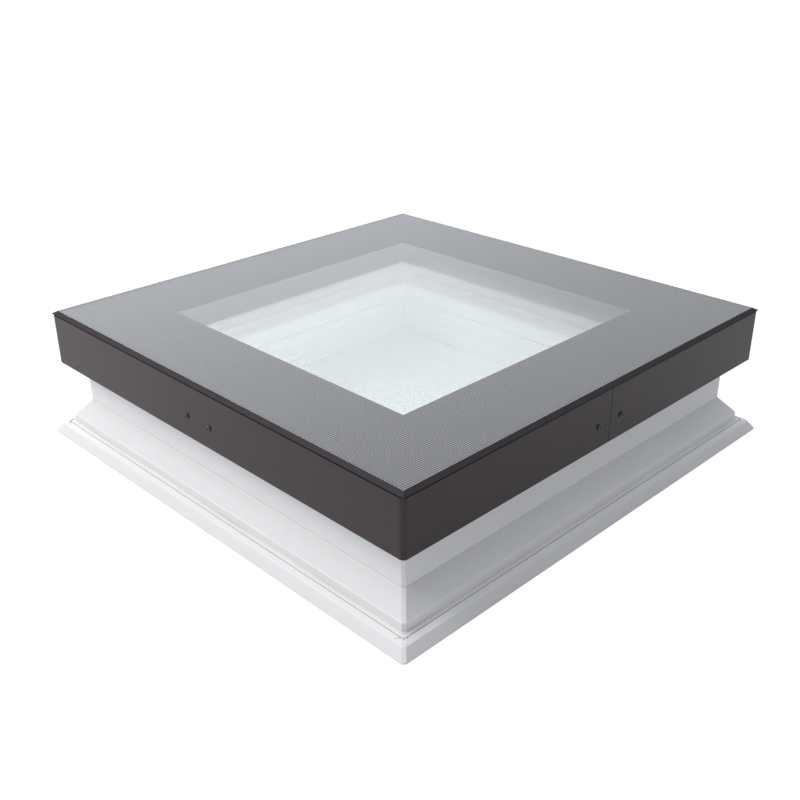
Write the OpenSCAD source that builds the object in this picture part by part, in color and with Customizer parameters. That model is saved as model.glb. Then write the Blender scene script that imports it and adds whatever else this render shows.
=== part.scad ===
/* [Overall] */
// Width and depth over the cladding skirt
cover_w = 760; // [560:1:1300]
// Height of the kerb with its glazing seat, up to the top of the seat
kerb_h = 150; // [125:1:260]

/* [Kerb] */
// Distance from the outer face of the cladding in to the outer face of the kerb wall
kerb_inset = 29; // [20:0.5:45]
// Depth of the kerb profile, from its inner to its outer face
kerb_depth = 68; // [56:0.5:90]
// Thickness of the kerb's outer skin
skin_t = 3; // [2:0.1:4]
// Thickness of the webs between the kerb's chambers
web_t = 2; // [1.2:0.1:3]
// Width of the slim chamber behind each face of the kerb
slim_chamber = 11; // [6:0.5:14]
// Height at which the kerb wall turns out into the sloped skirt
slope_top = 56.5; // [45:0.5:75]
// Height of the lower edge of the sloped skirt
slope_foot = 30; // [24:0.5:40]
// How far the sloped skirt stands out from the kerb wall
slope_out = 22; // [12:0.5:30]
// Height of the upright band's foot, where the flange starts
band_foot = 19; // [16:0.5:23]
// Reach of the flange at its upper edge, out from the kerb wall
flange_out = 37.5; // [34:0.5:50]
// Height of the flange's upper outer edge
flange_edge = 14; // [10:0.5:15]
// Reach of the foot on the roof, out from the kerb wall
foot_out = 46.5; // [40:0.5:60]
// Width of the flat that is left where each welded corner is cleaned off
weld_w = 5.2; // [0.5:0.1:8]
// Radius of the extruded profile's outer edges
edge_r = 1.2; // [0.2:0.1:1.5]
// Width of the groove along the flange
groove_w = 1.7; // [1:0.1:3]
// Depth of the groove along the flange
groove_d = 2; // [1:0.1:2.5]
// Height of the lining groove on the inner face
lining_z = 67; // [50:0.5:90]
// Width of the lining groove
lining_w = 1.6; // [1:0.1:3]
// Depth of the lining groove
lining_d = 1.5; // [0.5:0.1:2]

/* [Glazing seat] */
// Height of the glazing seat profile
seat_h = 18; // [14:0.5:24]
// How far the seat reaches in past the kerb's inner face
seat_reach = 32; // [20:0.5:45]
// Wall thickness of the seat profile
seat_wall = 2.5; // [2:0.1:4]

/* [Glass unit] */
// Thickness of the outer toughened pane
outer_pane_t = 6; // [5:0.5:8]
// Thickness of the middle pane
middle_pane_t = 4; // [3:0.5:6]
// Thickness of the laminated inner pane
inner_pane_t = 6.8; // [4.4:0.2:8.8]
// Cavity between two panes
cavity = 18; // [12:1:20]
// How far the outer pane reaches past the lower panes
pane_step = 37; // [34:0.5:44]
// Width of the spacer bar
spacer_w = 7; // [5:0.5:8]
// Width of the secondary seal outside the spacer
seal_w = 5; // [3:0.5:7]
// Height of the seated gaskets
gasket_h = 3.2; // [2:0.1:5]
// Width of the seat gasket
gasket_w = 12; // [8:0.5:16]
// Width of the lip gasket at the inner edge of the seat
lip_w = 5; // [3:0.5:8]

/* [Edge trim and cladding] */
// Width of the trim strip seen from above, between the glass and the cladding's outer face
trim_w = 7; // [6:0.5:10]
// Drop of the trim strip from the glass to its outer edge
trim_drop = 3.5; // [2:0.1:4.5]
// Thickness of the trim's walls
trim_t = 2; // [1.5:0.1:2]
// Height of the trim's upright outer lip
trim_lip = 1; // [0.8:0.1:1.5]
// Thickness of the cladding sheet
sheet_t = 1.5; // [1:0.1:2]
// Drop of the cladding's lower edge below the top of the glass
skirt_drop = 84; // [78:0.5:100]
// Outer radius of the bent cladding corners
bend_r = 6.5; // [4:0.5:10]
// Shadow gap above the cladding on the unbroken sides
shadow_gap = 1.2; // [0.6:0.1:2]
// Fitting gap above the cladding on the seamed sides
fit_gap = 0.3; // [0.2:0.1:0.6]
// Gap of the butt seams
seam_gap = 1; // [0.5:0.1:2]
// Height of the drain slot in each cladding sheet
slot_h = 5; // [3:0.5:8]
// Width of the drain slot
slot_w = 1.6; // [1.2:0.1:3]
// Distance of the drain slot from the cladding corner
slot_in = 58; // [40:1:80]

/* [Glass carrier] */
// Wall thickness of the carrier profile
carrier_t = 2.5; // [2:0.1:3.5]
// Width of the carrier's foot on the seat
carrier_foot = 12; // [10:0.5:13]
// Gap between the lower panes and the carrier
pane_gap = 2.5; // [1.5:0.1:4]
// Height of the bonding bead under the outer pane
bead_h = 3; // [2:0.1:5]
// Width of the bonding bead
bead_w = 24; // [12:0.5:26]

/* [Brackets and screws] */
// Length of each cladding bracket
bracket_len = 80; // [70:1:120]
// Thickness of the bracket plate
bracket_t = 2; // [1.5:0.1:3]
// Height of the bracket's outer plate
bracket_h = 30; // [26:0.5:34]
// Distance between the two screws of a pair
screw_pitch = 50; // [36:0.5:56]
// Height of the cladding screws above the cladding's lower edge
screw_up = 31.5; // [24:0.5:36]
// Head diameter of the screws
head_d = 8; // [7:0.1:9]
// Head height of the screws
head_h = 2.2; // [1.8:0.1:3]
// Shank diameter of the screws
shank_d = 4.2; // [3.5:0.1:4.8]
// Distance of the outer carrier screws from the middle of a side
carrier_screw_x = 250; // [140:1:260]

/* [Hidden] */
SIDES = ["front", "right", "back", "left"];

$fn = 48;
eps = 0.01;
clear = 0.3;            // running clearance between neighbouring pieces
hole_play = 0.2;        // a screw hole is this much wider than its shank
edge_gap = 0.6;         // width of the seal between the pane's edge and the trim

// half widths, measured from the middle of the window
cover_r = cover_w / 2;
wall_r = cover_r - kerb_inset;
inner_r = wall_r - kerb_depth;
slope_r = wall_r + slope_out;
flange_r = wall_r + flange_out;
foot_r = wall_r + foot_out;
seat_r = inner_r - seat_reach;
pane_r = cover_r - trim_w;
lower_r = pane_r - pane_step;
spacer_r = lower_r - seal_w;
carrier_r = lower_r + pane_gap;
carrier_out_r = cover_r - sheet_t - clear - trim_t - clear;
skirt_r = cover_r - sheet_t;

// heights, measured from the roof
seat_z = kerb_h - seat_h;
inner_pane_z = kerb_h + gasket_h;
lower_cavity_z = inner_pane_z + inner_pane_t;
middle_pane_z = lower_cavity_z + cavity;
upper_cavity_z = middle_pane_z + middle_pane_t;
outer_pane_z = upper_cavity_z + cavity;
top_z = outer_pane_z + outer_pane_t;
carrier_top_z = outer_pane_z - bead_h;
trim_edge_z = top_z - trim_drop;
skirt_z = top_z - skirt_drop;
screw_z = skirt_z + screw_up;

// the kerb's chambers
step_wall = 0.8;        // how much the band under the slope stands out past its own foot
arc_steps = 3;          // steps in a rounded corner of an outline
core_out_r = wall_r - skin_t - slim_chamber - web_t;
core_in_r = inner_r + skin_t + slim_chamber + web_t;
floor_t = 5;            // thickness of the kerb's base and of its flange
foot_lip = 1.5;         // upright edge at the very foot of the flange
groove_at = 0.42;       // place of the groove across the flange
ridge = 0.5;            // how much the strip outside the groove is raised

// the trim's leg, and the hook that grips the carrier's flange from below
trim_leg_r = skirt_r - clear;
trim_hook_z = carrier_top_z - carrier_t;
trim_hook_in = 14;      // how far the hook reaches in under the carrier's flange

// screw places along a side, and the brackets that the pairs go into
carrier_places = [-carrier_screw_x, 0, carrier_screw_x];
pair_places = [-screw_pitch / 2, screw_pitch / 2];
carrier_screw_r = carrier_r + carrier_t + (carrier_foot - carrier_t) / 2;
carrier_screw_len = carrier_t + seat_h + 8;
shelf_z = screw_z + bracket_h / 2 - bracket_t;
bracket_up = 16;        // height of the bracket's inner plate above its shelf
bracket_screw_z = shelf_z + bracket_t + bracket_up / 2;
bracket_in_r = carrier_r + carrier_t;
cover_screw_len = 12;
screw_point = 1;        // how far a bracket screw comes through the carrier
gasket_in = 4;          // distance of the seat gasket in from the lower panes' edge
lip_in = 1;             // distance of the lip gasket from the seat's inner edge
bead_in = 4;            // distance of the bonding bead from the carrier's inner edge

// One mitred length of a profile drawn as (distance from the middle, height), on side 0 to 3.
module mitred(side) {
    reach = foot_r + 10;
    rotate([0, 0, 90 * side])
        intersection() {
            rotate([90, 0, -90])
                linear_extrude(2 * reach, center = true)
                    children();
            translate([0, 0, -10])
                linear_extrude(top_z + 20)
                    polygon([[0, 0], [-reach, -reach], [reach, -reach]]);
        }
}

// A square ring between two half widths.
module ring(outer, inner, height) {
    linear_extrude(height)
        difference() {
            square(2 * outer, center = true);
            square(2 * inner, center = true);
        }
}

// The flange's top falls from the band's foot to its outer edge; this is its height at a share across.
function flange_z(share) = band_foot + (flange_edge - band_foot) * share;
function flange_x(share) = slope_r + step_wall + (flange_r - slope_r - step_wall) * share;

// The corner b of an outline, rounded to radius r in a few steps; a and c are its neighbours.
function corner_arc(a, b, c, r) =
    let (
        u = (a - b) / norm(a - b),
        v = (c - b) / norm(c - b),
        half = acos(u * v) / 2,
        cut = min(r / tan(half), norm(a - b) * 0.45, norm(c - b) * 0.45),
        radius = cut * tan(half),
        centre = b + (u + v) / norm(u + v) * radius / sin(half),
        p = b + u * cut - centre,
        turn = -sign(cross(u, v)) * (180 - 2 * half)
    )
    [for (k = [0 : arc_steps])
        let (w = turn * k / arc_steps)
        centre + [p[0] * cos(w) - p[1] * sin(w), p[0] * sin(w) + p[1] * cos(w)]];

// An outline of [x, z, radius] points with its corners rounded.
function rounded(points) =
    let (n = len(points), flat = [for (q = points) [q[0], q[1]]])
    [for (i = [0 : n - 1])
        each points[i][2] == 0
            ? [flat[i]]
            : corner_arc(flat[(i + n - 1) % n], flat[i], flat[(i + 1) % n], points[i][2])];

// The kerb's outer face from the roof up to the seat, as [distance from the middle, height, radius].
function kerb_face() =
    let (groove_x = flange_x(groove_at), groove_z = flange_z(groove_at))
    [
        [foot_r, 0, 0],
        [foot_r, foot_lip, edge_r / 2],
        [flange_r, flange_edge + ridge, edge_r],
        [groove_x + groove_w / 2, groove_z + ridge, edge_r / 4],
        [groove_x, groove_z - groove_d, 0],
        [groove_x - groove_w / 2, groove_z, edge_r / 4],
        [slope_r + step_wall, band_foot, edge_r / 4],
        [slope_r + step_wall, slope_foot, edge_r],
        [wall_r, slope_top, edge_r],
        [wall_r, seat_z, 0]
    ];

module kerb_outline() {
    polygon(rounded(concat(
        kerb_face(),
        [
            [inner_r, seat_z, 0],
            [inner_r, lining_z + lining_w / 2, edge_r / 4],
            [inner_r + lining_d, lining_z, 0],
            [inner_r, lining_z - lining_w / 2, edge_r / 4],
            [inner_r, 0, edge_r / 2]
        ]
    )));
}

// Everything within the cleaned weld at the corner that ends a side; hand is -1 or 1.
module weld_clearance(hand) {
    far = 3 * foot_r;
    face = [for (q = rounded(kerb_face())) [q[0] * sqrt(2) - weld_w / 2, q[1]]];
    rotate([0, 0, 45 * hand])
        rotate([90, 0, -90])
            linear_extrude(2 * far, center = true)
                polygon(concat([[-far, 0]], face, [[-far, seat_z]]));
}

module chamber(r1, z1, r2, z2) {
    translate([r1, z1])
        square([r2 - r1, z2 - z1]);
}

module kerb_chambers() {
    top = seat_z - skin_t;
    chamber(inner_r + skin_t, floor_t, core_in_r - web_t, top);
    chamber(core_in_r, floor_t, core_out_r, top);
    chamber(core_out_r + web_t, slope_top + web_t, wall_r - skin_t, top);
    // the wide chamber behind the slope and the band, its roof parallel to the slope
    step_r = slope_r + step_wall - skin_t;
    roof_rise = (slope_out + step_wall) * (slope_top - slope_foot) / slope_out;
    polygon([
        [core_out_r + web_t, floor_t],
        [step_r, floor_t],
        [step_r, slope_foot - web_t],
        [wall_r - skin_t, slope_foot - web_t + roof_rise],
        [core_out_r + web_t, slope_foot - web_t + roof_rise]
    ]);
    // the flat chamber in the flange
    flange_in = slope_r + step_wall + web_t / 2;
    polygon([
        [flange_in, floor_t - 1],
        [foot_r - 2 * skin_t, floor_t - 1],
        [flange_r - skin_t, flange_edge - skin_t],
        [flange_in, flange_edge - skin_t]
    ]);
}

module kerb(side) {
    color("whitesmoke")
        difference() {
            intersection() {
                mitred(side)
                    difference() {
                        kerb_outline();
                        kerb_chambers();
                    }
                rotate([0, 0, 90 * side])
                    weld_clearance(-1);
                rotate([0, 0, 90 * side])
                    weld_clearance(1);
            }
            on_side(side, carrier_places, carrier_screw_r, seat_z - skin_t - 1)
                cylinder(d = shank_d + hole_play, h = skin_t + 2);
        }
}

module core(side) {
    color("lightgray")
        mitred(side)
            chamber(core_in_r + clear, floor_t + clear, core_out_r - clear, seat_z - skin_t - clear);
}

// Screw places along one side, at a distance r from the middle.
module on_side(side, places, r, z) {
    rotate([0, 0, 90 * side])
        for (x = places)
            translate([x, -r, z])
                children();
}

module seat(side) {
    color("whitesmoke")
        difference() {
            mitred(side)
                difference() {
                    chamber(seat_r, seat_z, wall_r, kerb_h);
                    chamber(seat_r + seat_wall, seat_z + seat_wall, inner_r - web_t / 2, kerb_h - seat_wall);
                    chamber(inner_r + web_t / 2, seat_z + seat_wall, core_out_r, kerb_h - seat_wall);
                }
            on_side(side, carrier_places, carrier_screw_r, seat_z - 1)
                cylinder(d = shank_d + hole_play, h = seat_h + 2);
        }
}

module carrier(side) {
    color("silver")
        difference() {
            mitred(side)
                union() {
                    chamber(carrier_r, kerb_h, carrier_r + carrier_foot, kerb_h + carrier_t);
                    chamber(carrier_r, kerb_h, carrier_r + carrier_t, carrier_top_z);
                    chamber(carrier_r, carrier_top_z - carrier_t, carrier_out_r, carrier_top_z);
                }
            on_side(side, carrier_places, carrier_screw_r, kerb_h - 1)
                cylinder(d = shank_d + hole_play, h = carrier_t + 2);
            on_side(side, pair_places, carrier_r, bracket_screw_z)
                rotate([90, 0, 0])
                    cylinder(d = shank_d + hole_play, h = 4 * carrier_t, center = true);
        }
}

module trim_outline() {
    lip_z = trim_edge_z - trim_lip;
    inner = pane_r + edge_gap;
    polygon([
        [inner, top_z],
        [cover_r, trim_edge_z],
        [cover_r, lip_z],
        [trim_leg_r, lip_z],
        [trim_leg_r, trim_hook_z - trim_t],
        [trim_leg_r - trim_hook_in, trim_hook_z - trim_t],
        [trim_leg_r - trim_hook_in, trim_hook_z],
        [trim_leg_r - trim_t, trim_hook_z],
        [trim_leg_r - trim_t, outer_pane_z],
        [inner, outer_pane_z]
    ]);
}

// A square with rounded corners, from its half width.
module rounded_plan(r, corner) {
    straight = r - corner;
    union() {
        square([2 * r, 2 * straight], center = true);
        square([2 * straight, 2 * r], center = true);
        for (x = [-straight, straight], y = [-straight, straight])
            translate([x, y])
                circle(corner);
    }
}

// The trim's strip has sharp mitred corners; below it the legs are notched round to clear the bent cladding.
module trim(side) {
    lip_z = trim_edge_z - trim_lip;
    color("dimgray")
        intersection() {
            mitred(side)
                trim_outline();
            union() {
                linear_extrude(lip_z)
                    rounded_plan(trim_leg_r, bend_r - sheet_t - clear);
                translate([0, 0, lip_z])
                    linear_extrude(2 * trim_drop + trim_lip)
                        square(cover_w, center = true);
            }
        }
}

module skirt_ring(z1, z2) {
    translate([0, 0, z1])
        linear_extrude(z2 - z1)
            difference() {
                rounded_plan(cover_r, bend_r);
                rounded_plan(skirt_r, bend_r - sheet_t);
            }
}

// One U-shaped sheet. Its web is an unbroken side and its two wings end at the butt seams.
module cover(side) {
    web_top = trim_edge_z - trim_lip - shadow_gap;
    wing_top = trim_edge_z - trim_lip - fit_gap;
    color("dimgray")
        difference() {
            skirt_ring(skirt_z, wing_top);
            // the other half
            rotate([0, 0, 90 * side])
                translate([-cover_r - 1, -seam_gap / 2, skirt_z - 1])
                    cube([cover_w + 2, cover_r + seam_gap + 1, skirt_drop]);
            // the unbroken side stops lower, at the shadow gap
            rotate([0, 0, 90 * side])
                translate([-cover_r - 1, -cover_r - 1, web_top])
                    cube([cover_w + 2, sheet_t + 2, skirt_drop]);
            for (n = [side, side + 1, side + 3])
                on_side(n, pair_places, cover_r, screw_z)
                    rotate([90, 0, 0])
                        cylinder(d = shank_d + hole_play, h = 6 * sheet_t, center = true);
            on_side(side, [slot_in - cover_r], cover_r, skirt_z + slot_h + slot_h / 2)
                cube([slot_w, 4 * sheet_t, slot_h], center = true);
        }
}

module bracket(side) {
    color("lightsteelblue")
        rotate([0, 0, 90 * side])
            difference() {
                rotate([90, 0, -90])
                    linear_extrude(bracket_len, center = true)
                        union() {
                            chamber(skirt_r - bracket_t, screw_z - bracket_h / 2, skirt_r, shelf_z + bracket_t);
                            chamber(bracket_in_r, shelf_z, skirt_r, shelf_z + bracket_t);
                            chamber(bracket_in_r, shelf_z, bracket_in_r + bracket_t,
                                    shelf_z + bracket_t + bracket_up);
                        }
                for (x = pair_places)
                    translate([x, -skirt_r, screw_z])
                        rotate([90, 0, 0])
                            cylinder(d = shank_d + hole_play, h = 4 * bracket_t, center = true);
                for (x = pair_places)
                    translate([x, -bracket_in_r, bracket_screw_z])
                        rotate([90, 0, 0])
                            cylinder(d = shank_d + hole_play, h = 4 * bracket_t, center = true);
            }
}

// A pan-head screw standing on z = 0 with its shank down and a hexagonal socket in its head.
module screw(len) {
    difference() {
        union() {
            translate([0, 0, -len])
                cylinder(d = shank_d, h = len + eps);
            cylinder(d = head_d, h = head_h * 0.6);
            translate([0, 0, head_h * 0.6])
                cylinder(d1 = head_d, d2 = head_d * 0.72, h = head_h * 0.4);
        }
        translate([0, 0, head_h * 0.4])
            cylinder(d = head_d * 0.42, h = head_h, $fn = 6);
    }
}

module cover_screws() {
    color("gray")
        for (side = [0 : 3])
            on_side(side, pair_places, cover_r, screw_z)
                rotate([90, 0, 0])
                    screw(cover_screw_len);
}

module bracket_screws() {
    color("gray")
        for (side = [0 : 3])
            on_side(side, pair_places, bracket_in_r + bracket_t, bracket_screw_z)
                rotate([90, 0, 0])
                    screw(bracket_t + carrier_t + screw_point);
}

module carrier_screws() {
    color("gray")
        for (side = [0 : 3])
            on_side(side, carrier_places, carrier_screw_r, kerb_h + carrier_t)
                screw(carrier_screw_len);
}

module seat_gasket() {
    color("black")
        translate([0, 0, kerb_h])
            ring(lower_r - gasket_in, lower_r - gasket_in - gasket_w, gasket_h);
}

module lip_gasket() {
    color("gainsboro")
        translate([0, 0, kerb_h])
            ring(seat_r + lip_in + lip_w, seat_r + lip_in, gasket_h);
}

module pane(half, z, thickness) {
    color("lightcyan", 0.4)
        translate([-half, -half, z])
            cube([2 * half, 2 * half, thickness]);
}

module spacer(z) {
    color("darkgray")
        translate([0, 0, z])
            ring(spacer_r, spacer_r - spacer_w, cavity);
}

module edge_sealant(z) {
    color("black")
        translate([0, 0, z])
            ring(lower_r, spacer_r, cavity);
}

module bonding_bead() {
    color("black")
        translate([0, 0, carrier_top_z])
            ring(carrier_r + bead_in + bead_w, carrier_r + bead_in, bead_h);
}

module edge_seal() {
    color("black")
        translate([0, 0, outer_pane_z])
            ring(pane_r + edge_gap, pane_r, outer_pane_t - edge_gap);
}

for (side = [0 : 3]) {
    kerb(side);
    core(side);
    seat(side);
    carrier(side);
    trim(side);
    bracket(side);
}
cover(0);  // cover_front
cover(2);  // cover_back
cover_screws();
bracket_screws();
carrier_screws();
seat_gasket();
lip_gasket();
pane(lower_r, inner_pane_z, inner_pane_t);  // pane_inner
spacer(lower_cavity_z);  // spacer_lower
edge_sealant(lower_cavity_z);  // seal_lower
pane(lower_r, middle_pane_z, middle_pane_t);  // pane_middle
spacer(upper_cavity_z);  // spacer_upper
edge_sealant(upper_cavity_z);  // seal_upper
pane(pane_r, outer_pane_z, outer_pane_t);  // pane_outer
bonding_bead();
edge_seal();
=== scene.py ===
from math import pi, radians

import bmesh
import bpy
from bpy.props import FloatProperty, FloatVectorProperty, PointerProperty
from bpy.types import Operator, Panel, PropertyGroup
from mathutils import Matrix, Vector


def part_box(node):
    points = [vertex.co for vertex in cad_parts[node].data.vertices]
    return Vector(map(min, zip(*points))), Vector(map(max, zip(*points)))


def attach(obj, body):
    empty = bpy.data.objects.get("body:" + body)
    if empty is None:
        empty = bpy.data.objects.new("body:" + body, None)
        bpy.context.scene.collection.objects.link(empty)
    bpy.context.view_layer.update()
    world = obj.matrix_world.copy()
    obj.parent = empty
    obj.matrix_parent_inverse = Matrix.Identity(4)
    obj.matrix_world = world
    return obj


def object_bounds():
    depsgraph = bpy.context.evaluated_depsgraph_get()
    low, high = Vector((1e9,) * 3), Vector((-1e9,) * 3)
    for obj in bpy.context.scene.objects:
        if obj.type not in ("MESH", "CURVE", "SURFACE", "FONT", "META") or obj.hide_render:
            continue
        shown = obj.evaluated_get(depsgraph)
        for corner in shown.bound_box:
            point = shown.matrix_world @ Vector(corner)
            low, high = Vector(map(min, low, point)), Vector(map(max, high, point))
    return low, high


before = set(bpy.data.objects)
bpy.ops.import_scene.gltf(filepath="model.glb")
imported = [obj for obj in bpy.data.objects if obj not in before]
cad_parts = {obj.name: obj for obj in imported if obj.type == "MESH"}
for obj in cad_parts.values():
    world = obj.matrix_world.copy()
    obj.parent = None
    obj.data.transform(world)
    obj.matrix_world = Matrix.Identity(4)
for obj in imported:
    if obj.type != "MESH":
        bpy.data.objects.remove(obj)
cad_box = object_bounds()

bl_info = {
    "name": "Flat-roof skylight",
    "version": (1, 0, 0),
    "blender": (4, 5, 0),
    "location": "3D View > Sidebar > Skylight",
    "description": "Finishes, printed glass border and studio for a fixed flat-roof skylight",
    "category": "Object",
}

SIDES = ("front", "right", "back", "left")
MM = 0.001
WHITE_GLOW = 1.05               # what the camera sees of the floor and the backdrop, a touch over white

FLOOR_HALF = 20.0               # half width of the floor
FLOOR_GAP = 0.2 * MM            # the floor lies this far below the kerb's foot

# where the studio's glowing surfaces lie, as seen from the skylight, and how tightly each glow is gathered
GLOWS = (
    ("wall_left", (-1.0, 0.0, 0.3), 4.0),
    ("wall_back_left", (-0.9, 0.42, 0.36), 6.0),
    ("wall_back_right", (-0.42, 0.9, 0.36), 6.0),
    ("ceiling", (0.0, 0.0, 1.0), 3.0),
    ("fill", (-0.5, -0.85, 0.4), 4.0),
)

# the flat of a cleaned weld ends where its distance past the mitre is between these shares of its width
WELD_FULL = 0.66
WELD_END = 0.72
SAW_MARKS = 1400.0              # frequency of the saw marks across a weld, per metre
DIE_LINES = 620.0               # frequency of the die lines along the extrusion, per metre
HATCH_ROWS = 0.7                # rows of hatching across the slope for each one along it
HATCH_MARGIN = 1.5 * MM         # the slope's hatching stops this short of its upper and lower edge
FOOT_BEVEL = 0.6 * MM           # the foot's hatching starts this far past the flange's upper edge
WALL_ZONE = 40 * MM             # everything nearer the middle than this, counted from the groove, is inside
FOOT_SHADOW = 2.5 * MM            # height of the painted contact shadow at the foot of the inner face

BREATHER_PITCH = 4 * MM         # pitch of the holes in the spacer bar
PRINT_INSET = 0.3 * MM          # the print stops this short of the outer pane's edge
PRINT_UP = 0.04 * MM            # the print's upper face lies this far above the pane's underside
PRINT_THICKNESS = 0.03 * MM


# ---------------------------------------------------------------- sizes and colours

def colour(name, description, default):
    """A colour that a user can change."""
    return FloatVectorProperty(name=name, description=description, default=default, size=3,
                               min=0.0, max=1.0, subtype="COLOR")


def length(name, description, default):
    """A length in metres that a user can change."""
    return FloatProperty(name=name, description=description, default=default, min=0.0, max=5.0,
                         precision=5, subtype="DISTANCE", unit="LENGTH")


def angle(name, description, degrees):
    """An angle that a user can change."""
    return FloatProperty(name=name, description=description, default=radians(degrees),
                         subtype="ANGLE", unit="ROTATION")


def place(name, description, default):
    """A point in metres that a user can change."""
    return FloatVectorProperty(name=name, description=description, default=default, size=3,
                               subtype="TRANSLATION", unit="LENGTH")


def strength(name, description, default, high=10.0):
    """The strength of a light that a user can change."""
    return FloatProperty(name=name, description=description, default=default, min=0.0, max=high,
                         precision=3)


class StageSettings(PropertyGroup):
    azimuth: angle("Azimuth", "Camera's turn round the skylight, from its front side", 46.04)
    elevation: angle("Elevation", "Camera's angle above the roof", 25.89)
    roll: angle("Roll", "Camera's turn about its own line of sight", -0.65)
    distance: length("Distance", "From the aim point to the camera", 1.5981)
    aim: place("Aim", "Point that the camera circles", (-0.0171, -0.0177, 0.0623))
    lens: FloatProperty(name="Lens", description="Focal length for a 36 mm sensor, in millimetres",
                        default=45.44, min=10.0, max=200.0)
    shift_x: FloatProperty(name="Shift right", description="Camera's sideways shift, as a share of the width",
                           default=0.0152, min=-0.1, max=0.1, precision=4)
    shift_y: FloatProperty(name="Shift up", description="Camera's upward shift, as a share of the width",
                           default=-0.0069, min=-0.1, max=0.1, precision=4)
    floor_colour: colour("Floor", "Plain pale floor", (0.78, 0.78, 0.785))
    sky_colour: colour("Glow colour", "Colour of the walls' and the ceiling's glow", (0.93, 0.96, 1.0))
    ambient: strength("Ambient", "Even light from all round", 0.32)
    wall_left: strength("Left wall", "Glow of the pale wall on the left", 0.95)
    wall_back_left: strength("Back wall, left", "Glow of the pale wall behind, left part", 0.75)
    wall_back_right: strength("Back wall, right", "Glow of the pale wall behind, right part", 0.58)
    ceiling: strength("Ceiling", "Glow of the ceiling", 0.75)
    fill: strength("Fill", "Glow from the front on the left", 0.1)
    key: strength("Key", "Strength of the large soft light above the front left, in watts per square metre",
                  21.0, 1000.0)
    key_width: length("Key width", "Width of the large soft light", 2.4)
    key_depth: length("Key depth", "Depth of the large soft light", 1.6)
    key_place: place("Key place", "Middle of the large soft light", (-1.5, -2.2, 3.0))
    key_colour: colour("Key colour", "Colour of the large soft light", (1.0, 0.985, 0.96))


class KerbSettings(PropertyGroup):
    pvc: colour("PVC", "White of the extruded kerb and glazing seat", (0.80, 0.795, 0.805))
    # painted shade: the seat's inner face is the same white PVC, painted this grey for the shade it lies in
    face: colour("Seat skin", "Grey skin on the glazing seat's inner face", (0.28, 0.27, 0.275))
    seat_face: length("Seat face", "Distance from the middle to the glazing seat's inner face", 251 * MM)
    # this brownish tone serves the dust at the band's foot, the dark seat joints, and the painted shade in
    # turns, grooves, the step and at the inner face's foot
    dust_and_shade: colour("Soil", "Brownish dust that gathers at the band's foot", (0.34, 0.29, 0.25))
    slope_top: length("Slope top", "Height at which the wall turns out into the slope", 56.5 * MM)
    slope_foot: length("Slope foot", "Height of the slope's lower edge", 30 * MM)
    band_foot: length("Band foot", "Height of the upright band's foot", 19 * MM)
    flange_reach: length("Flange reach", "Distance from the middle to the flange's upper edge", 388.5 * MM)
    flange_groove: length("Flange groove", "Distance from the middle to the groove along the flange",
                          380 * MM)
    lining_groove: length("Lining groove", "Height of the groove on the inner face", 67 * MM)
    weld_width: length("Weld width", "Width of the flat where a welded corner was cleaned off", 5.2 * MM)
    hatch_pitch: length("Hatch pitch", "Pitch of the fine hatching on the slope and the foot", 2.6 * MM)
    hatch_depth: length("Hatch depth", "Depth of the fine hatching", 0.18 * MM)
    foam: colour("Foam", "Pale rigid foam of the insulation cores", (0.80, 0.80, 0.78))
    foam_cell: colour("Foam cells", "Darker tone between the foam's cells", (0.66, 0.66, 0.64))


class CladdingSettings(PropertyGroup):
    sheet: colour("Sheet", "Powder coat of the cladding", (0.033, 0.0225, 0.0235))
    trim: colour("Trim", "Powder coat of the edge trim", (0.042, 0.036, 0.040))
    crease_height: length("Crease height", "Height of the faint crease along the seamed sides", 170.3 * MM)
    crease_from: length("Crease start", "Distance from the middle at which the crease starts", 45 * MM)
    # painted reflection: the brownish line along the sheets' lower edge
    foot_reflection_colour: colour("Cut edge", "Brownish bare edge along the foot of the sheets", (0.12, 0.085, 0.065))
    cut_height: length("Cut height", "Height of the lower edge of the sheets", 122 * MM)
    gap_height: length("Gap height", "Height at which the gap under the trim starts", 200 * MM)


class GlassSettings(PropertyGroup):
    tint: colour("Tint", "Colour that each surface of a pane lets through", (0.940, 0.953, 0.943))
    ior: FloatProperty(name="IOR", description="Refractive index of the panes", default=1.52,
                       min=1.0, max=2.0)
    opening: length("Clear opening", "Half width of the clear glass inside the printed border", 243.8 * MM)
    shift: length("Opening shift", "How far the opening sits towards the front and towards the right", 3 * MM)
    dot_pitch: length("Dot pitch", "Pitch of the printed dots", 3.5 * MM)
    dot_width: length("Dot width", "Diameter of the printed dots", 2.3 * MM)
    dots: colour("Dots", "Light grey of the printed dots", (0.222, 0.217, 0.246))
    ground: colour("Ground", "Dark grey between the dots", (0.015, 0.0145, 0.017))
    spacer: colour("Spacer", "Satin grey of the spacer bars", (0.62, 0.625, 0.63))
    breather: colour("Spacer holes", "Shade of the small holes in the spacer bars", (0.3, 0.3, 0.3))


class FixingSettings(PropertyGroup):
    screw: colour("Screws", "Dark coating of the screws", (0.05, 0.048, 0.047))
    zinc: colour("Zinc", "Galvanised steel of the brackets", (0.60, 0.61, 0.63))
    aluminium: colour("Aluminium", "Mill-finish aluminium of the glass carrier", (0.74, 0.74, 0.75))
    rubber: colour("Rubber", "Black rubber and sealant", (0.022, 0.022, 0.023))
    pale_rubber: colour("Pale rubber", "Light gaskets under the glass unit", (0.66, 0.67, 0.68))


GROUPS = {"stage": StageSettings, "kerb": KerbSettings, "cladding": CladdingSettings,
          "glass": GlassSettings, "fixings": FixingSettings}


def settings(group):
    """One of the scene's groups of sizes and colours."""
    return getattr(bpy.context.scene, "skylight_" + group)


# ---------------------------------------------------------------- small helpers for node trees

def put(tree, socket, value):
    """Links a socket to another one, or sets it to a value."""
    if isinstance(value, bpy.types.NodeSocket):
        tree.links.new(value, socket)
    else:
        socket.default_value = value


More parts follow.
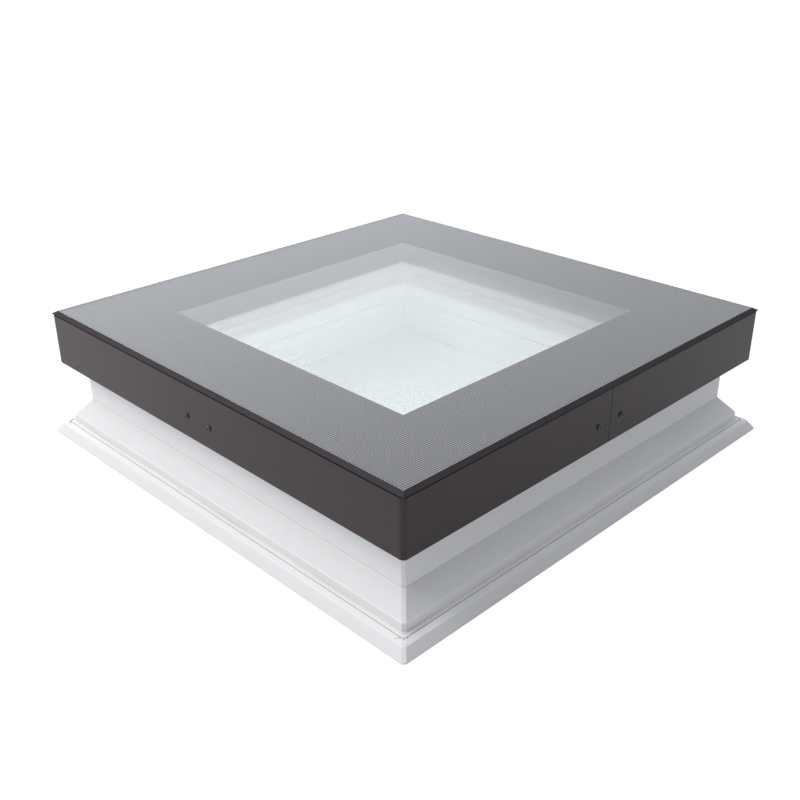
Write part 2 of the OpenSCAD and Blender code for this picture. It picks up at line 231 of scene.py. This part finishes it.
def node(tree, kind, inputs=None, **options):
    """A node in tree. options set its properties; inputs give each socket a value or a link."""
    made = tree.nodes.new(kind)
    for name, value in options.items():
        setattr(made, name, value)
    for name, value in (inputs or {}).items():
        put(tree, made.inputs[name], value)
    return made


def maths(tree, operation, *values):
    """The result of a Math node on values or sockets."""
    return node(tree, "ShaderNodeMath", dict(enumerate(values)), operation=operation).outputs[0]


def scaled(tree, mask, amount, offset=0.0):
    """mask times amount, plus an offset."""
    return maths(tree, "MULTIPLY_ADD", mask, amount, offset)


def ramp(tree, value, start, end, low=0.0, high=1.0):
    """A smooth step of value from low at start to high at end."""
    inputs = {"Value": value, "From Min": start, "From Max": end, "To Min": low, "To Max": high}
    return node(tree, "ShaderNodeMapRange", inputs, interpolation_type="SMOOTHSTEP").outputs[0]


def noise(tree, where, scale, detail=3.0):
    """Smooth noise from 0 to 1."""
    inputs = {"Vector": where, "Scale": scale, "Detail": detail, "Roughness": 0.5}
    return node(tree, "ShaderNodeTexNoise", inputs).outputs["Fac"]


def streaks(tree, where, scale, detail):
    """Noise from 0 to 1 that changes along one measure only."""
    inputs = {"W": maths(tree, "MULTIPLY", where, scale), "Scale": 1.0, "Detail": detail}
    return node(tree, "ShaderNodeTexNoise", inputs, noise_dimensions="1D").outputs["Fac"]


def object_place(tree):
    """Where a point lies on the object, as one vector."""
    return node(tree, "ShaderNodeTexCoord").outputs["Object"]


def object_x_y_z(tree):
    """Where a point lies on the object, as three numbers."""
    return node(tree, "ShaderNodeSeparateXYZ", {0: object_place(tree)}).outputs


def blend(tree, factor, first, second):
    """A mix of two colours."""
    made = node(tree, "ShaderNodeMix", data_type="RGBA")
    for socket, value in zip((made.inputs[0], made.inputs[6], made.inputs[7]), (factor, first, second)):
        put(tree, socket, value)
    return made.outputs[2]


def rgba(shade, factor=1.0):
    """A colour setting times a factor, as the four numbers that a socket takes."""
    return (*(min(1.0, part * factor) for part in shade), 1.0)


def bump(tree, height, distance):
    """A normal from a height from 0 to 1 that stands for a distance in metres."""
    inputs = {"Strength": 1.0, "Distance": distance, "Height": height}
    return node(tree, "ShaderNodeBump", inputs).outputs[0]


def new_group(name, inputs, outputs):
    """An empty shader node group; inputs are (name, default), outputs are names of values."""
    group = bpy.data.node_groups.new(name, "ShaderNodeTree")
    for label, default in inputs:
        socket = group.interface.new_socket(label, in_out="INPUT", socket_type="NodeSocketFloat")
        socket.default_value = default
    for label in outputs:
        group.interface.new_socket(label, in_out="OUTPUT", socket_type="NodeSocketFloat")
    return group


def placed(tree, make, **values):
    """The outputs of a shared group placed in tree; underscores in values stand for spaces."""
    name = make.__name__
    group = bpy.data.node_groups.get(name) or make(name)
    made = node(tree, "ShaderNodeGroup", node_tree=group)
    for label, value in values.items():
        put(tree, made.inputs[label.replace("_", " ")], value)
    return made.outputs


def side_measure(name):
    """Where a point lies on a square ring: how far from the middle, how far along its side, how high,
    and how far past the mitre."""
    group = new_group(name, (), ("From Middle", "Along", "Height", "Past Mitre"))
    x, y, height = object_x_y_z(group)
    across_x, across_y = maths(group, "ABSOLUTE", x), maths(group, "ABSOLUTE", y)
    from_middle = maths(group, "MAXIMUM", across_x, across_y)
    on_seamed_side = maths(group, "GREATER_THAN", across_x, across_y)
    along = node(group, "ShaderNodeMix", {0: on_seamed_side, 2: x, 3: y}).outputs[0]
    past_mitre = maths(group, "ABSOLUTE", maths(group, "SUBTRACT", across_x, across_y))
    node(group, "NodeGroupOutput", dict(enumerate((from_middle, along, height, past_mitre))))
    return group


def stripe(name):
    """1 where Value lies between From and To, with edges as soft as Softness."""
    group = new_group(name, (("Value", 0.0), ("From", 0.0), ("To", 1.0), ("Softness", 0.0005)), ("Mask",))
    start = node(group, "NodeGroupInput").outputs
    rise, fall = (
        ramp(group, start["Value"], maths(group, "SUBTRACT", start[edge], start["Softness"]),
             maths(group, "ADD", start[edge], start["Softness"]), low, high)
        for edge, low, high in (("From", 0.0, 1.0), ("To", 1.0, 0.0)))
    node(group, "NodeGroupOutput", {"Mask": maths(group, "MULTIPLY", rise, fall)})
    return group


def mottle(name):
    """Broad unevenness and fine grain of a surface, each about 0."""
    group = new_group(name, (("Broad Scale", 6.0), ("Fine Scale", 400.0)), ("Broad", "Fine"))
    start = node(group, "NodeGroupInput").outputs
    where = object_place(group)
    grain = {kind: maths(group, "SUBTRACT", noise(group, where, start[kind + " Scale"], 2.0), 0.5)
             for kind in ("Broad", "Fine")}
    node(group, "NodeGroupOutput", grain)
    return group


def new_material(name):
    """An empty material, its tree and its Principled shader."""
    made = bpy.data.materials.new(name)
    made.use_nodes = True
    tree = made.node_tree
    tree.nodes.clear()
    shader = node(tree, "ShaderNodeBsdfPrincipled")
    node(tree, "ShaderNodeOutputMaterial", {"Surface": shader.outputs[0]})
    return made, tree, shader


def feed(tree, shader, name, value):
    """Links or sets one input of a shader."""
    put(tree, shader.inputs[name], value)


def mix_shaders(tree, mask, first, second):
    """first where the mask is 0, second where it is 1."""
    return node(tree, "ShaderNodeMixShader", {0: mask, 1: first.outputs[0], 2: second.outputs[0]})


def show(tree, shader):
    """Makes a shader the one that the material shows."""
    end = next(n for n in tree.nodes if n.type == "OUTPUT_MATERIAL")
    tree.links.new(shader.outputs[0], end.inputs["Surface"])


# ---------------------------------------------------------------- finishes

def fine_hatching(tree, kerb, side, weld):
    """Where the slope and the foot's bevel are hatched, and the hatching itself."""
    radius, along, height = side["From Middle"], side["Along"], side["Height"]
    slope = placed(tree, stripe, Value=height, From=kerb.slope_foot + HATCH_MARGIN,
                   To=kerb.slope_top - HATCH_MARGIN)[0]
    foot = placed(tree, stripe, Value=radius, From=kerb.flange_reach + FOOT_BEVEL, To=1.0)[0]
    hatched = maths(tree, "MULTIPLY", maths(tree, "MAXIMUM", slope, foot), maths(tree, "SUBTRACT", 1.0, weld))
    turns = 2 * pi / kerb.hatch_pitch
    down_slope = maths(tree, "SUBTRACT", radius, height)
    ribs = maths(tree, "SINE", maths(tree, "MULTIPLY", along, turns))
    rows = maths(tree, "SINE", maths(tree, "MULTIPLY", down_slope, turns * HATCH_ROWS))
    pattern = scaled(tree, maths(tree, "MULTIPLY", ribs, rows), 0.5, 0.5)
    return hatched, maths(tree, "MULTIPLY", hatched, pattern)


def band_dust_and_shade(tree, kerb, side, grain):
    """Dust at the foot of the upright band, with painted shade in the step."""
    step = placed(tree, stripe, Value=side["Height"], From=kerb.band_foot - 1.2 * MM,
                  To=kerb.band_foot + 0.8 * MM, Softness=0.6 * MM)[0]
    near_band = ramp(tree, side["From Middle"], kerb.flange_reach - 9.5 * MM, kerb.flange_reach - 13.5 * MM)
    patchy = ramp(tree, grain["Broad"], -0.25, 0.15, 0.08, 0.35)
    return maths(tree, "MULTIPLY", maths(tree, "MULTIPLY", step, near_band), patchy)


def painted_shade_lines(tree, kerb, side):
    """Painted shade in the turn at the wall's foot, in the flange's groove and in the lining groove, and a
    painted contact shadow at the foot of the inner face."""
    radius, height = side["From Middle"], side["Height"]
    outside = ramp(tree, radius, kerb.flange_groove - WALL_ZONE, kerb.flange_groove - WALL_ZONE + 1 * MM)
    inside = maths(tree, "SUBTRACT", 1.0, outside)
    turn = placed(tree, stripe, Value=height, From=kerb.slope_top - 0.3 * MM, To=kerb.slope_top + 0.5 * MM,
                  Softness=0.3 * MM)[0]
    groove = placed(tree, stripe, Value=radius, From=kerb.flange_groove - 0.9 * MM,
                    To=kerb.flange_groove + 0.9 * MM, Softness=0.3 * MM)[0]
    lining = placed(tree, stripe, Value=height, From=kerb.lining_groove - 1.0 * MM,
                    To=kerb.lining_groove + 1.0 * MM, Softness=0.4 * MM)[0]
    foot_line = ramp(tree, height, FOOT_SHADOW, 0.5 * MM)
    outer_lines = maths(tree, "MAXIMUM", maths(tree, "MULTIPLY", turn, outside), groove)
    inner_lines = maths(tree, "MULTIPLY", inside, maths(tree, "MAXIMUM", lining, foot_line))
    return maths(tree, "MAXIMUM", scaled(tree, outer_lines, 0.45), scaled(tree, inner_lines, 0.9))


def kerb_pvc():
    """White extruded PVC with welded corners, hatched slope and foot, painted shade in the hatching, turns and
    grooves, and a little dust with painted shade in the step.
    """
    kerb = settings("kerb")
    made, tree, shader = new_material("kerb_pvc")
    side = placed(tree, side_measure)
    grain = placed(tree, mottle, Broad_Scale=5.0, Fine_Scale=900.0)

    # cleaned welds: a narrow flat across each corner, with saw marks across it
    weld = ramp(tree, side["Past Mitre"], kerb.weld_width * WELD_END, kerb.weld_width * WELD_FULL)
    marks = streaks(tree, side["Height"], SAW_MARKS, 1.0)
    hatched, hatch = fine_hatching(tree, kerb, side, weld)

    # the plain white, then the marks, the dust and the painted shade on it
    finish = blend(tree, scaled(tree, grain["Broad"], 0.5, 0.5), rgba(kerb.pvc, 0.985), rgba(kerb.pvc, 1.015))
    # painted shade: the hatching's grooves are painted darker, besides their bump
    finish = blend(tree, scaled(tree, hatch, 0.24), finish, rgba(kerb.pvc, 0.5))
    finish = blend(tree, scaled(tree, weld, 0.6), finish, rgba(kerb.pvc, 1.08))
    sawn = maths(tree, "MULTIPLY", weld, ramp(tree, marks, 0.45, 0.62, 0.0, 0.22))
    finish = blend(tree, sawn, finish, rgba(kerb.pvc, 0.5))
    # painted shade in the turn and the grooves, and a painted contact shadow at the inner face's foot
    finish = blend(tree, painted_shade_lines(tree, kerb, side), finish, rgba(kerb.dust_and_shade))
    # dust and painted shade in the step at the band's foot
    finish = blend(tree, band_dust_and_shade(tree, kerb, side, grain), finish, rgba(kerb.dust_and_shade))
    feed(tree, shader, "Base Color", finish)

    rough = scaled(tree, grain["Fine"], 0.12, 0.42)
    feed(tree, shader, "Roughness", scaled(tree, maths(tree, "MAXIMUM", hatched, weld), 0.15, rough))
    feed(tree, shader, "Specular IOR Level", 0.3)

    # die lines run along the whole extrusion
    die = streaks(tree, maths(tree, "ADD", side["From Middle"], side["Height"]), DIE_LINES, 2.0)
    relief = maths(tree, "ADD", hatch, scaled(tree, die, 0.08))
    relief = maths(tree, "ADD", relief, maths(tree, "MULTIPLY", weld, scaled(tree, marks, 0.6)))
    feed(tree, shader, "Normal", bump(tree, relief, kerb.hatch_depth))
    return made


def seat_pvc():
    """The glazing seat: the same white PVC, plain and a little smoother, its inner face painted grey as
    painted shade.
    """
    kerb = settings("kerb")
    made, tree, shader = new_material("seat_pvc")
    side = placed(tree, side_measure)
    radius, height = side["From Middle"], side["Height"]
    grain = placed(tree, mottle, Broad_Scale=7.0, Fine_Scale=700.0)
    joint = ramp(tree, side["Past Mitre"], 0.6 * MM, 0.2 * MM)
    # painted shade: the seat's inner face is painted grey
    painted_shade = ramp(tree, radius, kerb.seat_face + 0.8 * MM, kerb.seat_face + 0.3 * MM)
    finish = blend(tree, scaled(tree, grain["Broad"], 0.5, 0.5), rgba(kerb.pvc, 0.98), rgba(kerb.pvc))
    finish = blend(tree, painted_shade, finish, rgba(kerb.face))
    feed(tree, shader, "Base Color", blend(tree, scaled(tree, joint, 0.35), finish, rgba(kerb.dust_and_shade)))
    feed(tree, shader, "Roughness", scaled(tree, grain["Fine"], 0.1, 0.36))
    die = noise(tree, node(tree, "ShaderNodeCombineXYZ", {0: radius, 1: height}).outputs[0], 500.0)
    relief = maths(tree, "SUBTRACT", scaled(tree, die, 0.1), joint)
    feed(tree, shader, "Normal", bump(tree, relief, 0.1 * MM))
    return made


def insulation_foam():
    """Pale rigid foam with a fine closed cell."""
    kerb = settings("kerb")
    made, tree, shader = new_material("insulation_foam")
    inputs = {"Vector": object_place(tree), "Scale": 900.0}
    cells = node(tree, "ShaderNodeTexVoronoi", inputs).outputs["Distance"]
    feed(tree, shader, "Base Color", blend(tree, cells, rgba(kerb.foam), rgba(kerb.foam_cell)))
    feed(tree, shader, "Roughness", 0.9)
    feed(tree, shader, "Normal", bump(tree, cells, 0.3 * MM))
    return made


def crease_line(tree, cladding):
    """The faint crease along the seamed sides; one wing of each sheet carries it clearly, the other hardly
    at all."""
    x, y, height = object_x_y_z(tree)
    seamed = maths(tree, "GREATER_THAN", maths(tree, "ABSOLUTE", x), maths(tree, "ABSOLUTE", y))
    off_line = maths(tree, "ABSOLUTE", maths(tree, "SUBTRACT", height, cladding.crease_height))
    line = maths(tree, "MULTIPLY", ramp(tree, off_line, 1.1 * MM, 0.2 * MM), seamed)
    sheet_end = maths(tree, "MULTIPLY", maths(tree, "SIGN", x), y)
    clear = ramp(tree, sheet_end, cladding.crease_from, cladding.crease_from + 30 * MM, 0.12, 1.0)
    return maths(tree, "MULTIPLY", line, clear)


def powder_coat(name, shade, gloss, rough, crease=False):
    """Satin powder coat: fine orange peel, and on the sheets a faint crease with painted shade along it, a
    painted shadow along the upper edge under the trim and a brownish painted reflection along the lower edge.
    """
    cladding = settings("cladding")
    made, tree, shader = new_material(name)
    height = placed(tree, side_measure)["Height"]
    grain = placed(tree, mottle, Broad_Scale=4.0, Fine_Scale=1500.0)
    finish = blend(tree, scaled(tree, grain["Broad"], 1.0, 0.5), rgba(shade, 0.94), rgba(shade, 1.08))
    relief = scaled(tree, grain["Fine"], 0.5)
    if crease:
        line = crease_line(tree, cladding)
        # painted shade: the crease is painted darker along its line, besides its bump
        finish = blend(tree, scaled(tree, line, 0.55), finish, rgba(shade, 0.35))
        relief = maths(tree, "SUBTRACT", relief, scaled(tree, line, 3.0))
        # painted shadow: the sheet's upper edge is painted black, without reflection, for the shade in the gap
        # under the trim
        gap = ramp(tree, height, cladding.gap_height, cladding.gap_height + 0.3 * MM)
        finish = blend(tree, gap, finish, (0.0, 0.0, 0.0, 1.0))
        feed(tree, shader, "Metallic", gap)
        # painted reflection: a brownish line along the sheets' lower edge
        foot_reflection = ramp(tree, height, cladding.cut_height + 0.8 * MM, cladding.cut_height + 0.3 * MM)
        finish = blend(tree, scaled(tree, foot_reflection, 0.7), finish, rgba(cladding.foot_reflection_colour))
    feed(tree, shader, "Base Color", finish)
    feed(tree, shader, "Roughness", scaled(tree, grain["Fine"], 0.12, rough))
    feed(tree, shader, "Specular IOR Level", gloss)
    feed(tree, shader, "Normal", bump(tree, relief, 0.05 * MM))
    return made


def bare_metal(name, shade, rough, spangle):
    """Metal with broad patches; spangle is how strongly the patches show."""
    made, tree, shader = new_material(name)
    inputs = {"Vector": object_place(tree), "Scale": 160.0}
    patches = node(tree, "ShaderNodeTexVoronoi", inputs, feature="SMOOTH_F1").outputs["Color"]
    tone = node(tree, "ShaderNodeSeparateXYZ", {0: patches}).outputs[0]
    grain = placed(tree, mottle, Broad_Scale=20.0, Fine_Scale=1200.0)
    feed(tree, shader, "Base Color", blend(tree, scaled(tree, tone, spangle), rgba(shade), rgba(shade, 0.7)))
    feed(tree, shader, "Roughness", scaled(tree, grain["Fine"], 0.2, rough))
    feed(tree, shader, "Metallic", 1.0)
    feed(tree, shader, "Normal", bump(tree, grain["Fine"], 0.03 * MM))
    return made


def coated_screw():
    """Dark coated steel, rubbed a little lighter in places."""
    shade = settings("fixings").screw
    made, tree, shader = new_material("coated_screw")
    grain = placed(tree, mottle, Broad_Scale=350.0, Fine_Scale=2500.0)
    rubbed = ramp(tree, grain["Broad"], 0.02, 0.2)
    feed(tree, shader, "Base Color", blend(tree, rubbed, rgba(shade), rgba(shade, 2.2)))
    feed(tree, shader, "Roughness", scaled(tree, rubbed, -0.12, 0.38))
    feed(tree, shader, "Metallic", 0.4)
    feed(tree, shader, "Normal", bump(tree, grain["Fine"], 0.03 * MM))
    return made


def seal_rubber(name, shade):
    """Matt rubber or cured sealant with a slightly uneven surface."""
    made, tree, shader = new_material(name)
    grain = placed(tree, mottle, Broad_Scale=60.0, Fine_Scale=1800.0)
    uneven = scaled(tree, grain["Broad"], 1.0, 0.5)
    feed(tree, shader, "Base Color", blend(tree, uneven, rgba(shade, 0.85), rgba(shade, 1.15)))
    feed(tree, shader, "Roughness", scaled(tree, grain["Broad"], 0.3, 0.62))
    relief = maths(tree, "ADD", grain["Broad"], scaled(tree, grain["Fine"], 0.3))
    feed(tree, shader, "Normal", bump(tree, relief, 0.2 * MM))
    return made


def from_cell_middle(tree, value, pitch):
    """How far a measure lies from the middle of its cell in a row of cells, as a share of the pitch."""
    cell = maths(tree, "FRACT", maths(tree, "DIVIDE", value, pitch))
    return maths(tree, "ABSOLUTE", maths(tree, "SUBTRACT", cell, 0.5))


def spacer_bar():
    """Satin grey spacer bar with a row of tiny breathing holes to the cavity."""
    glass = settings("glass")
    made, tree, shader = new_material("spacer_bar")
    along = placed(tree, side_measure)["Along"]
    grain = placed(tree, mottle, Broad_Scale=30.0, Fine_Scale=1500.0)
    hole = ramp(tree, from_cell_middle(tree, along, BREATHER_PITCH), 0.16, 0.10)
    feed(tree, shader, "Base Color", blend(tree, scaled(tree, hole, 0.3), rgba(glass.spacer),
                                           rgba(glass.breather)))
    feed(tree, shader, "Roughness", scaled(tree, grain["Fine"], 0.2, 0.45))
    feed(tree, shader, "Normal", bump(tree, maths(tree, "SUBTRACT", grain["Fine"], hole), 0.05 * MM))
    return made


def float_glass():
    """Clear float glass; lamps and the light that walls give back pass it unbent."""
    glass = settings("glass")
    made, tree, shader = new_material("float_glass")
    cloud = noise(tree, object_place(tree), 3.0, 1.0)
    feed(tree, shader, "Base Color", blend(tree, cloud, rgba(glass.tint), rgba(glass.tint, 0.998)))
    feed(tree, shader, "Roughness", 0.0)
    feed(tree, shader, "IOR", glass.ior)
    feed(tree, shader, "Transmission Weight", 1.0)
    clear = node(tree, "ShaderNodeBsdfTransparent", {"Color": rgba(glass.tint)})
    path = node(tree, "ShaderNodeLightPath").outputs
    bounced = mix_shaders(tree, path["Is Diffuse Ray"], shader, clear)
    show(tree, mix_shaders(tree, path["Is Shadow Ray"], bounced, clear))
    return made


def dotted_print():
    """Fired ceramic print: light dots in a square grid on a dark ground."""
    glass = settings("glass")
    made, tree, shader = new_material("dotted_print")
    x, y, _ = object_x_y_z(tree)
    squares = [maths(tree, "POWER", from_cell_middle(tree, value, glass.dot_pitch), 2.0) for value in (x, y)]
    reach = maths(tree, "SQRT", maths(tree, "ADD", *squares))
    edge = glass.dot_width / glass.dot_pitch / 2
    dot = ramp(tree, reach, edge + 0.04, edge - 0.04)
    grain = placed(tree, mottle, Broad_Scale=3.0, Fine_Scale=800.0)
    ink = blend(tree, dot, rgba(glass.ground), rgba(glass.dots))
    worn = scaled(tree, grain["Broad"], 0.1, 0.05)
    feed(tree, shader, "Base Color", blend(tree, worn, ink, rgba(glass.dots, 0.8)))
    feed(tree, shader, "Roughness", scaled(tree, grain["Fine"], 0.1, 0.6))
    feed(tree, shader, "Normal", bump(tree, dot, 0.01 * MM))
    return made


def pale_floor():
    """Plain pale floor that the camera sees as the same white as the backdrop."""
    shade = settings("stage").floor_colour
    made, tree, shader = new_material("pale_floor")
    grain = placed(tree, mottle, Broad_Scale=0.8, Fine_Scale=60.0)
    feed(tree, shader, "Base Color", blend(tree, scaled(tree, grain["Broad"], 0.4, 0.5), rgba(shade, 0.99),
                                           rgba(shade)))
    feed(tree, shader, "Roughness", 0.9)
    feed(tree, shader, "Specular IOR Level", 0.0)
    glow = node(tree, "ShaderNodeEmission", {"Color": (1, 1, 1, 1), "Strength": WHITE_GLOW})
    path = node(tree, "ShaderNodeLightPath").outputs
    show(tree, mix_shaders(tree, path["Is Camera Ray"], shader, glow))
    return made


# ---------------------------------------------------------------- dressing the CAD nodes

def on_sides(stem):
    """The four nodes of a piece that each side has."""
    return [f"{stem}_{side}" for side in SIDES]


def require(names):
    """Stops with an error where the frame lacks one of the nodes."""
    missing = [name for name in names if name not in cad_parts]
    if missing:
        raise RuntimeError(f"the frame has no node named {missing}")


def dress(names, material, edge=0.0):
    """Gives CAD nodes a finish and, where edge isn't 0, softened edges of that width."""
    require(names)
    for name in names:
        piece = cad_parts[name]
        piece.data.materials.clear()
        piece.data.materials.append(material)
        if edge:
            joined = piece.modifiers.new("joined faces", "WELD")
            joined.merge_threshold = 0.002 * MM
            soft = piece.modifiers.new("soft edges", "BEVEL")
            soft.width = edge
            soft.segments = 2
            soft.limit_method = "ANGLE"
            soft.angle_limit = radians(35)
            soft.harden_normals = True


# ---------------------------------------------------------------- operators

class SKYLIGHT_OT_stage(Operator):
    """Set up the camera, the floor and the soft studio light"""

    bl_idname = "skylight.stage"
    bl_label = "Stage"

    def execute(self, context):
        stage = settings("stage")
        context.scene.view_settings.view_transform = "Standard"
        self.camera(context.scene, stage)
        self.floor(context.scene)
        self.world(context.scene, stage)
        self.key_light(context.scene, stage)
        return {"FINISHED"}

    def camera(self, scene, stage):
        lens = bpy.data.cameras.new("camera")
        lens.lens = stage.lens
        lens.shift_x = stage.shift_x
        lens.shift_y = stage.shift_y
        lens.clip_start = 0.01
        camera = bpy.data.objects.new("camera", lens)
        turn = (Matrix.Rotation(stage.azimuth, 4, "Z") @ Matrix.Rotation(radians(90) - stage.elevation, 4, "X")
                @ Matrix.Rotation(stage.roll, 4, "Z"))
        back = Matrix.Translation((0, 0, stage.distance))
        camera.matrix_world = Matrix.Translation(Vector(stage.aim)) @ turn @ back
        scene.collection.objects.link(camera)
        scene.camera = camera

    def floor(self, scene):
        height = cad_box[0][2] - FLOOR_GAP
        corners = ((-1, -1), (1, -1), (1, 1), (-1, 1))
        mesh = bpy.data.meshes.new("floor")
        mesh.from_pydata([(x * FLOOR_HALF, y * FLOOR_HALF, height) for x, y in corners], [], [(0, 1, 2, 3)])
        mesh.materials.append(pale_floor())
        floor = bpy.data.objects.new("floor", mesh)
        scene.collection.objects.link(floor)

    def world(self, scene, stage):
        world = bpy.data.worlds.new("studio")
        world.use_nodes = True
        tree = world.node_tree
        tree.nodes.clear()
        way = node(tree, "ShaderNodeTexCoord").outputs["Generated"]
        total = stage.ambient
        for name, toward, tightness in GLOWS:
            facing = node(tree, "ShaderNodeVectorMath", {0: way, 1: Vector(toward).normalized()},
                          operation="DOT_PRODUCT").outputs["Value"]
            lobe = maths(tree, "POWER", maths(tree, "MAXIMUM", facing, 0.0), tightness)
            total = scaled(tree, lobe, getattr(stage, name), total)
        sky = node(tree, "ShaderNodeBackground", {"Color": rgba(stage.sky_colour), "Strength": total})
        plain = node(tree, "ShaderNodeBackground", {"Color": (1, 1, 1, 1), "Strength": WHITE_GLOW})
        path = node(tree, "ShaderNodeLightPath").outputs
        seen = mix_shaders(tree, path["Is Camera Ray"], sky, plain)
        node(tree, "ShaderNodeOutputWorld", {"Surface": seen.outputs[0]})
        scene.world = world

    def key_light(self, scene, stage):
        lamp = bpy.data.lights.new("key light", "AREA")
        lamp.shape = "RECTANGLE"
        lamp.size = stage.key_width
        lamp.size_y = stage.key_depth
        lamp.energy = stage.key * lamp.size * lamp.size_y
        lamp.color = stage.key_colour
        key = bpy.data.objects.new("key light", lamp)
        middle = Vector(stage.key_place)
        toward_skylight = (-middle).to_track_quat("-Z", "Y").to_matrix().to_4x4()
        key.matrix_world = Matrix.Translation(middle) @ toward_skylight
        scene.collection.objects.link(key)


class SKYLIGHT_OT_kerb(Operator):
    """Finish the welded kerb lengths, their insulation and the glazing seat"""

    bl_idname = "skylight.kerb"
    bl_label = "Kerb and glazing seat"

    def execute(self, context):
        dress(on_sides("kerb"), kerb_pvc())
        dress(on_sides("core"), insulation_foam())
        dress(on_sides("seat"), seat_pvc(), edge=0.4 * MM)
        return {"FINISHED"}


class SKYLIGHT_OT_cladding(Operator):
    """Finish the two bent cladding sheets and the four lengths of edge trim"""

    bl_idname = "skylight.cladding"
    bl_label = "Cladding and edge trim"

    def execute(self, context):
        cladding = settings("cladding")
        dress(["cover_front", "cover_back"],
              powder_coat("sheet_coat", cladding.sheet, gloss=0.3, rough=0.33, crease=True))
        dress(on_sides("trim"), powder_coat("trim_coat", cladding.trim, gloss=0.05, rough=0.55), edge=0.3 * MM)
        return {"FINISHED"}


class SKYLIGHT_OT_fixings(Operator):
    """Finish the screws, the cladding brackets and the glass carrier"""

    bl_idname = "skylight.fixings"
    bl_label = "Carrier, brackets and screws"

    def execute(self, context):
        fixings = settings("fixings")
        dress(["cover_screws", "bracket_screws", "carrier_screws"], coated_screw(), edge=0.15 * MM)
        dress(on_sides("bracket"), bare_metal("zinc_coat", fixings.zinc, 0.4, 0.8), edge=0.2 * MM)
        dress(on_sides("carrier"), bare_metal("mill_aluminium", fixings.aluminium, 0.32, 0.15), edge=0.2 * MM)
        return {"FINISHED"}


class SKYLIGHT_OT_glass_unit(Operator):
    """Finish the three panes, the two spacer frames and their seals"""

    bl_idname = "skylight.glass_unit"
    bl_label = "Glass unit"

    def execute(self, context):
        dress(["pane_inner", "pane_middle", "pane_outer"], float_glass())
        dress(["spacer_lower", "spacer_upper"], spacer_bar(), edge=0.2 * MM)
        dress(["seal_lower", "seal_upper"], seal_rubber("unit_sealant", settings("fixings").rubber))
        return {"FINISHED"}


class SKYLIGHT_OT_print_border(Operator):
    """Lay the dotted border on the underside of the outer pane"""

    bl_idname = "skylight.print_border"
    bl_label = "Printed border"

    def execute(self, context):
        require(["pane_outer"])
        glass = settings("glass")
        low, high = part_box("pane_outer")
        outer = high[0] - PRINT_INSET
        # the enamel is fused into the glass, so it lies just inside the pane's underside
        top = low[2] + PRINT_UP
        foot = top - PRINT_THICKNESS
        mesh = bmesh.new()
        corners = ((-1, -1), (1, -1), (1, 1), (-1, 1))
        rings = [[mesh.verts.new((x * half + off, y * half - off, z)) for x, y in corners]
                 for half, off, z in ((glass.opening, glass.shift, top), (outer, 0, top),
                                      (outer, 0, foot), (glass.opening, glass.shift, foot))]
        for ring, following in zip(rings, rings[1:] + rings[:1]):
            for k in range(4):
                mesh.faces.new((ring[k], following[k], following[(k + 1) % 4], ring[(k + 1) % 4]))
        bmesh.ops.recalc_face_normals(mesh, faces=mesh.faces)
        data = bpy.data.meshes.new("print_border")
        mesh.to_mesh(data)
        mesh.free()
        data.materials.append(dotted_print())
        border = bpy.data.objects.new("print_border", data)
        context.scene.collection.objects.link(border)
        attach(border, "root")
        return {"FINISHED"}


class SKYLIGHT_OT_seals(Operator):
    """Finish the gaskets, the bonding bead and the edge seal"""

    bl_idname = "skylight.seals"
    bl_label = "Gaskets and seals"

    def execute(self, context):
        fixings = settings("fixings")
        dress(["bonding_bead", "edge_seal"], seal_rubber("black_rubber", fixings.rubber), edge=0.2 * MM)
        dress(["lip_gasket", "seat_gasket"], seal_rubber("pale_rubber", fixings.pale_rubber), edge=0.6 * MM)
        return {"FINISHED"}


OPERATORS = (SKYLIGHT_OT_stage, SKYLIGHT_OT_kerb, SKYLIGHT_OT_cladding, SKYLIGHT_OT_fixings,
             SKYLIGHT_OT_glass_unit, SKYLIGHT_OT_print_border, SKYLIGHT_OT_seals)


class SKYLIGHT_PT_panel(Panel):
    """Sizes, colours and steps of the skylight"""

    bl_label = "Skylight"
    bl_space_type = "VIEW_3D"
    bl_region_type = "UI"
    bl_category = "Skylight"

    def draw(self, context):
        for group, kind in GROUPS.items():
            box = self.layout.box()
            box.label(text=group.capitalize())
            for name in kind.__annotations__:
                box.prop(settings(group), name)
        for kind in OPERATORS:
            self.layout.operator(kind.bl_idname)


def register():
    for kind in (*GROUPS.values(), *OPERATORS, SKYLIGHT_PT_panel):
        bpy.utils.register_class(kind)
    for group, kind in GROUPS.items():
        setattr(bpy.types.Scene, "skylight_" + group, PointerProperty(type=kind))


def unregister():
    for group in GROUPS:
        delattr(bpy.types.Scene, "skylight_" + group)
    for kind in reversed((*GROUPS.values(), *OPERATORS, SKYLIGHT_PT_panel)):
        bpy.utils.unregister_class(kind)


def main():
    register()
    bpy.ops.skylight.stage()
    bpy.ops.skylight.kerb()
    bpy.ops.skylight.cladding()
    bpy.ops.skylight.fixings()
    bpy.ops.skylight.glass_unit()
    bpy.ops.skylight.print_border()
    bpy.ops.skylight.seals()


if __name__ == "__main__":
    main()
